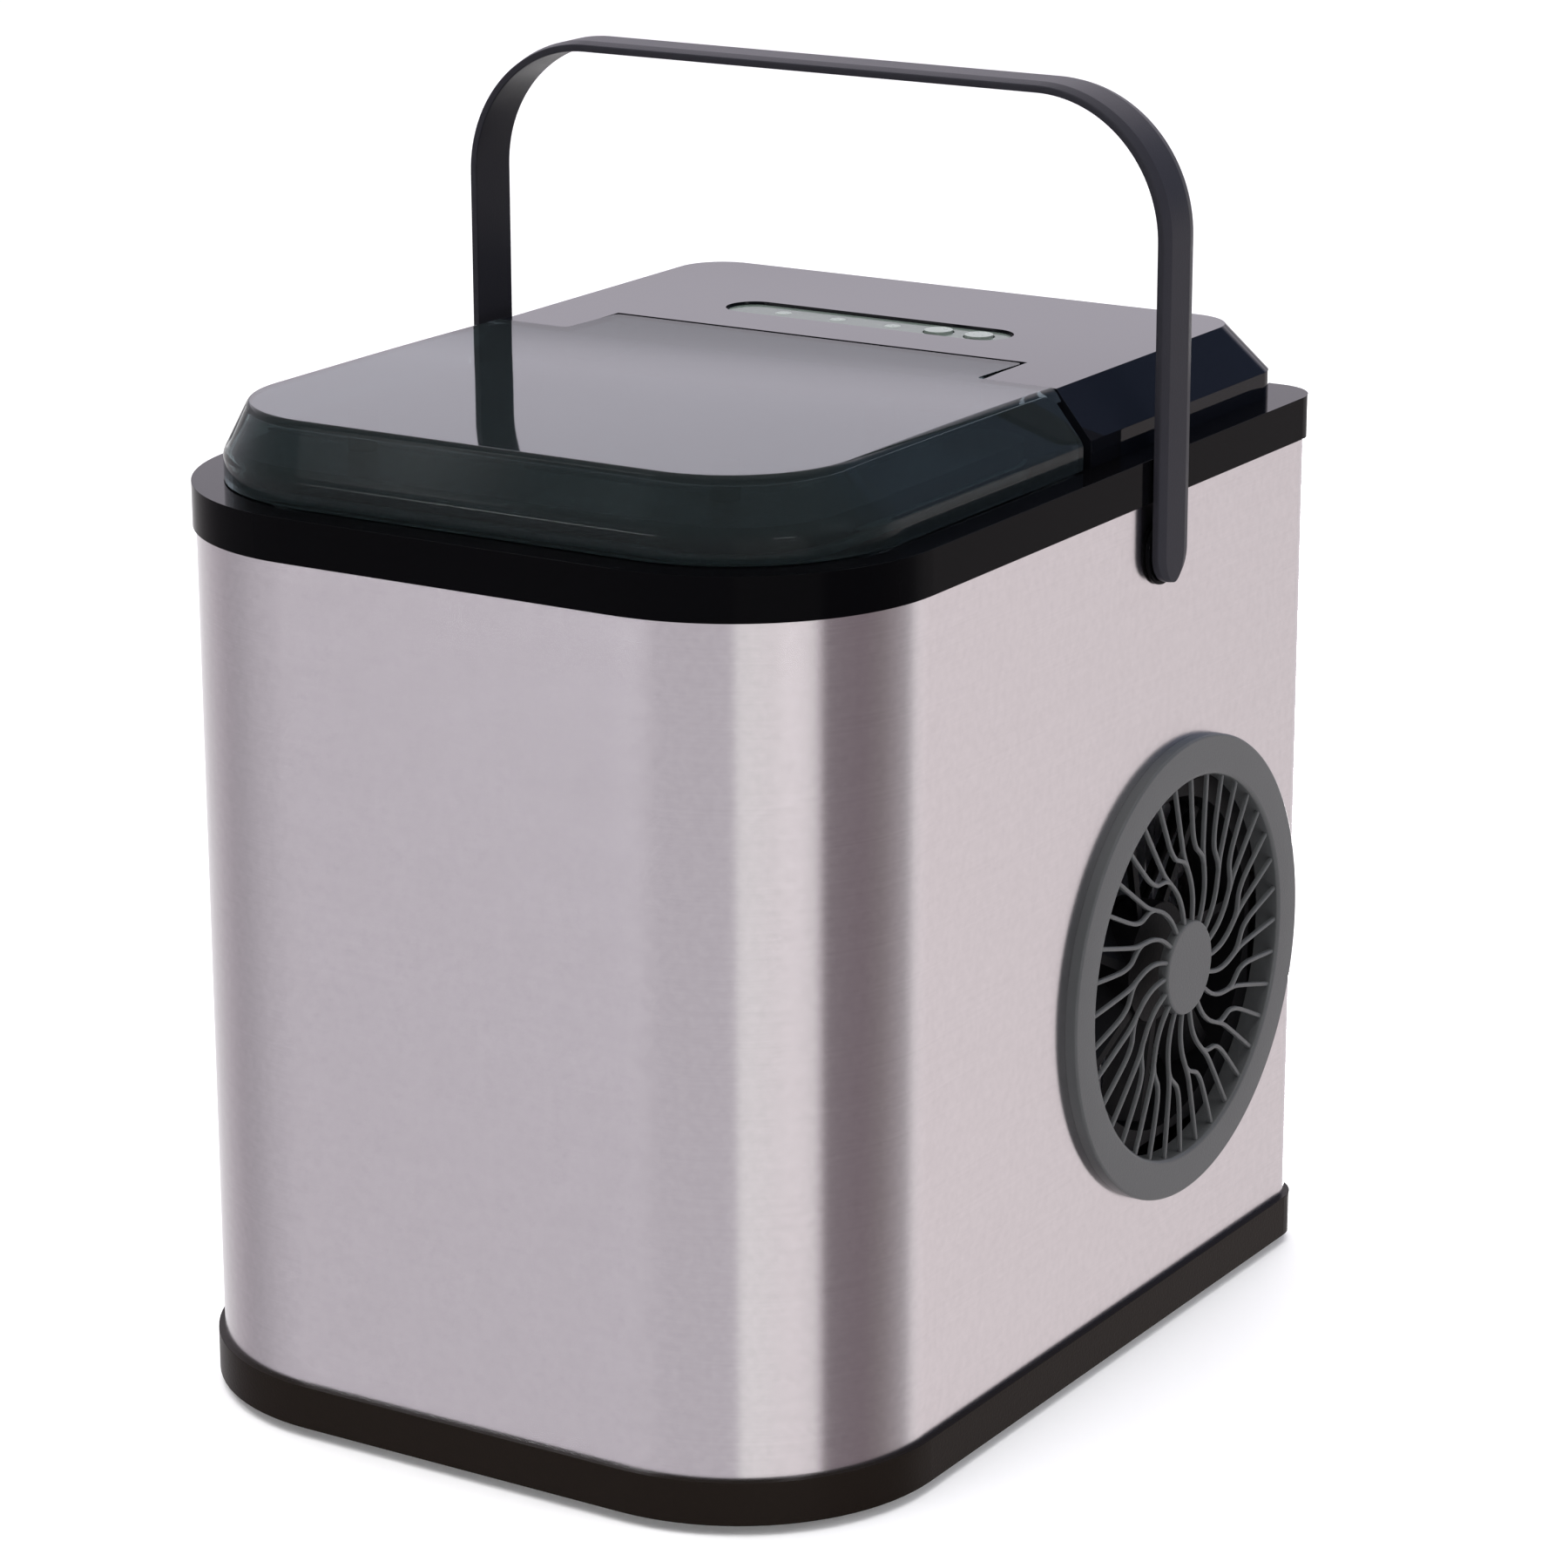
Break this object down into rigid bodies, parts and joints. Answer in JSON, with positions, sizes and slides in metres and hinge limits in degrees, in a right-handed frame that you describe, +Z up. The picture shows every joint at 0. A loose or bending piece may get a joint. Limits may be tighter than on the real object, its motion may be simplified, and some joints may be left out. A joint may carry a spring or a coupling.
{
  "type": "countertop ice maker",
  "caption": "Countertop ice maker with a brushed steel case, smoked hinged lid, folding carry handle, round side fan grille and a control strip on the rear top panel.",
  "frame": {"origin": "centre of the footprint on the plane under the feet", "axes": "+Z up, -Y to the front of the lid, +X to the side with the fan grille"},
  "size_m": [0.2248, 0.2786, 0.353],
  "materials": {
    "steel": "brushed sheet, grain running round the case",
    "base_black": "satin moulded",
    "foot_rubber": "matte",
    "rear_black": "fine texture",
    "ring_gloss": "polished",
    "panel_gloss": "polished",
    "smoked_lid": "polished smoked acrylic, slightly see-through",
    "inner_clear": "smooth translucent",
    "gasket_rubber": "matte",
    "foam": "foamed",
    "tub_plastic": "smooth",
    "pin_steel": "bright",
    "display_lens": "translucent",
    "lamp_plastic": "lit",
    "circuit_board": "solder resist",
    "button_grey": "smooth",
    "handle_plastic": "satin",
    "grille_grey": "satin",
    "fan_black": "satin",
    "copper": "drawn",
    "aluminium": "mill",
    "compressor_black": "semi gloss enamel",
    "zinc_steel": "zinc plated",
    "brass": "drawn",
    "plated_evaporator": "nickel plated copper",
    "white_plastic": "smooth",
    "hose_clear": "silicone",
    "grip_blue": "smooth",
    "component_blue": "moulded"
  },
  "bodies": {
    "case": {"base_tray": "base_black", "rubber_feet": "foot_rubber", "outer_wrap": "steel", "rear_cover": "rear_black", "top_ring": "ring_gloss", "foam_insulation": "foam", "inner_tub": "tub_plastic", "lid_hinge_pins": "pin_steel", "rear_panel": "panel_gloss", "display_lens": "display_lens", "indicator_lamps": "lamp_plastic", "display_board": "circuit_board", "button_switches": "rear_black", "handle_bushes": "ring_gloss", "fan_grille": "grille_grey", "fan_frame": "fan_black", "fan_motor": "copper", "condenser": "aluminium", "compressor": "compressor_black", "compressor_mounts": "foot_rubber", "terminal_cover": "rear_black", "mount_plate": "zinc_steel", "filter_drier": "copper", "gas_valve": "brass", "refrigerant_pipes": "copper", "evaporator": "plated_evaporator", "tray_bushes": "white_plastic", "tray_motor": "zinc_steel", "water_pump": "white_plastic", "water_hose": "hose_clear", "control_board": "circuit_board", "board_components": "component_blue", "board_posts": "white_plastic", "power_inlet": "rear_black", "drain_spout": "white_plastic", "case_screws": "pin_steel"},
    "lid": {"lid_shell": "smoked_lid", "lid_inner_panel": "inner_clear", "lid_gasket": "gasket_rubber"},
    "handle": {"carry_handle": "handle_plastic", "handle_pins": "pin_steel", "handle_clips": "pin_steel"},
    "power_key": {"power_button": "button_grey"},
    "select_key": {"select_button": "button_grey"},
    "fan": {"fan_rotor": "fan_black"},
    "tray": {"water_tray": "white_plastic"},
    "basket": {"ice_basket": "white_plastic", "basket_grip": "grip_blue"},
    "plug": {"drain_plug": "foot_rubber"}
  },
  "joints": [
    {"name": "lid_hinge", "type": "hinge", "parent": "case", "child": "lid", "pos_m": [0, 0.0275, 0.2705], "axis": [-1, 0, 0], "range_deg": [0, 90]},
    {"name": "handle_fold", "type": "hinge", "parent": "case", "child": "handle", "pos_m": [0, 0.043, 0.2285], "axis": [-1, 0, 0], "range_deg": [0, 110]},
    {"name": "power_press", "type": "slide", "parent": "case", "child": "power_key", "axis": [0, 0, -1], "range_m": [0, 0.0008], "stiffness_N_per_m": 400, "springref_m": -0.001},
    {"name": "select_press", "type": "slide", "parent": "case", "child": "select_key", "axis": [0, 0, -1], "range_m": [0, 0.0008], "stiffness_N_per_m": 400, "springref_m": -0.001},
    {"name": "fan_spin", "type": "hinge", "parent": "case", "child": "fan", "pos_m": [0.091, 0.059, 0.1055], "axis": [1, 0, 0], "continuous": true},
    {"name": "tray_tilt", "type": "hinge", "parent": "case", "child": "tray", "pos_m": [0, -0.012, 0.19], "axis": [1, 0, 0], "range_deg": [0, 55]},
    {"name": "basket_lift", "type": "slide", "parent": "case", "child": "basket", "axis": [0, 0, 1], "range_m": [0, 0.045]},
    {"name": "plug_pull", "type": "slide", "parent": "case", "child": "plug", "axis": [0, 1, 0], "range_m": [0, 0.018]}
  ]
}
